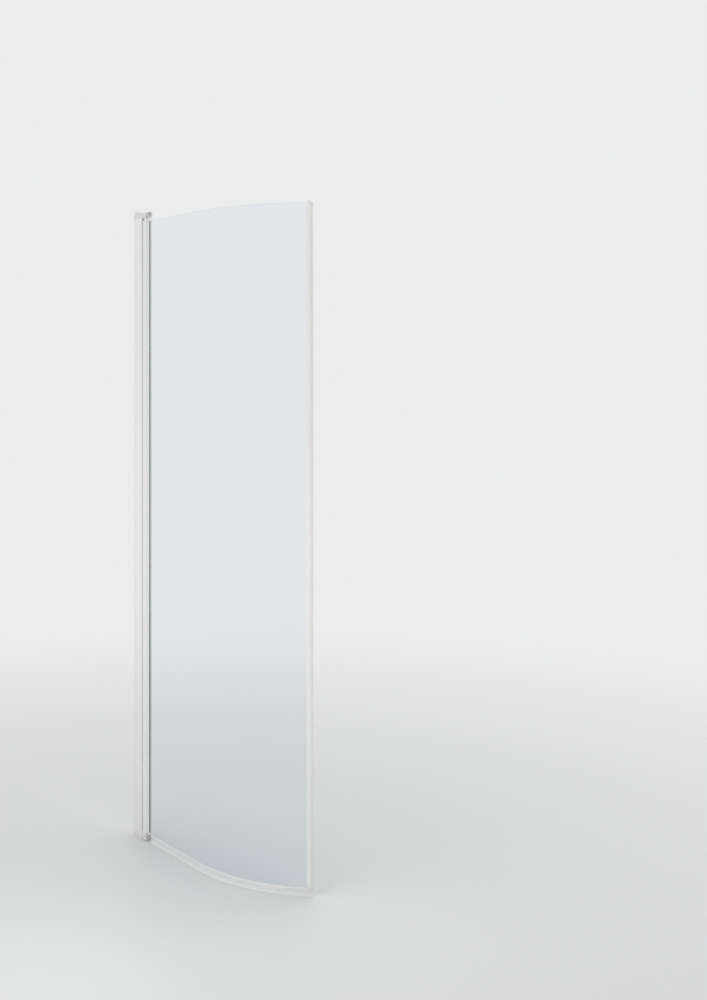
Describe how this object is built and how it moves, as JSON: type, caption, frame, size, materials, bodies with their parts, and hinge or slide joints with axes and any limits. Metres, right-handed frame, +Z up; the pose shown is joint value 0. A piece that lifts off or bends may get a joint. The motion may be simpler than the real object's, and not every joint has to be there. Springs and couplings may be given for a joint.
{
  "type": "shower door",
  "caption": "Curved hinged shower door: wall channel with telescoping jamb, rising pivot hinge, bent clear glass leaf, magnetic closing profile and bottom seal.",
  "frame": {"origin": "on the wall channel's wall face, at floor level, in the middle of the channel's width", "axes": "+X out from the wall along the straight run of the leaf, +Y along the wall towards the inside of the shower, +Z up"},
  "size_m": [0.7373, 0.1618, 2],
  "materials": {
    "satin_profile": "satin pale grey coated aluminium extrusion",
    "cap_plastic": "moulded, fine matt",
    "chrome": "polished",
    "steel": "turned stainless",
    "black_steel": "blackened",
    "nylon": "natural white nylon",
    "dark_rubber": "extruded glazing gasket",
    "grey_rubber": "extruded lip seal",
    "clear_glass": "6 mm toughened clear glass, faint blue-green tint",
    "magnet_sleeve": "satin grey extruded PVC",
    "magnet_core": "flexible magnet",
    "clear_seal": "translucent milky PVC"
  },
  "bodies": {
    "channel": {"wall_channel": "satin_profile", "channel_top_cap": "cap_plastic", "channel_foot_cover": "cap_plastic", "channel_lip_seals": "grey_rubber", "clamp_screws": "steel", "clamp_nuts": "steel", "clamp_screw_covers": "cap_plastic"},
    "jamb": {"jamb_profile": "satin_profile", "jamb_top_cap": "cap_plastic", "jamb_foot_cap": "cap_plastic", "upper_hinge_arm": "chrome", "lower_hinge_arm": "chrome", "upper_arm_screw": "black_steel", "lower_arm_screw": "black_steel", "upper_pivot_pin": "steel", "lower_pivot_pin": "steel", "bush_clip": "black_steel", "fixed_rise_cam": "nylon"},
    "hinge_bush": {"upper_bush": "nylon"},
    "leaf": {"glass_panel": "clear_glass", "hinge_rail": "satin_profile", "rail_gasket": "dark_rubber", "rail_top_plug": "cap_plastic", "moving_rise_cam": "nylon", "closing_profile": "satin_profile", "closing_gasket": "dark_rubber", "closing_top_cap": "cap_plastic", "closing_foot_cap": "cap_plastic", "magnet_carrier": "magnet_sleeve", "magnet_bar": "magnet_core", "bottom_seal_clip": "clear_seal", "bottom_seal_fin": "clear_seal"}
  },
  "joints": [
    {"name": "width_adjust", "type": "slide", "parent": "channel", "child": "jamb", "axis": [1, 0, 0], "range_m": [0, 0.02]},
    {"name": "door_swing", "type": "hinge", "parent": "jamb", "child": "hinge_bush", "pos_m": [0.081, 0, 0], "axis": [0, 0, 1], "range_deg": [-95, 0]},
    {"name": "door_lift", "type": "slide", "parent": "hinge_bush", "child": "leaf", "axis": [0, 0, 1], "range_m": [0, 0.0032]}
  ],
  "couplings": [
    {"joint": "door_lift", "follows": "door_swing", "m_per_rad": -0.0019099}
  ]
}
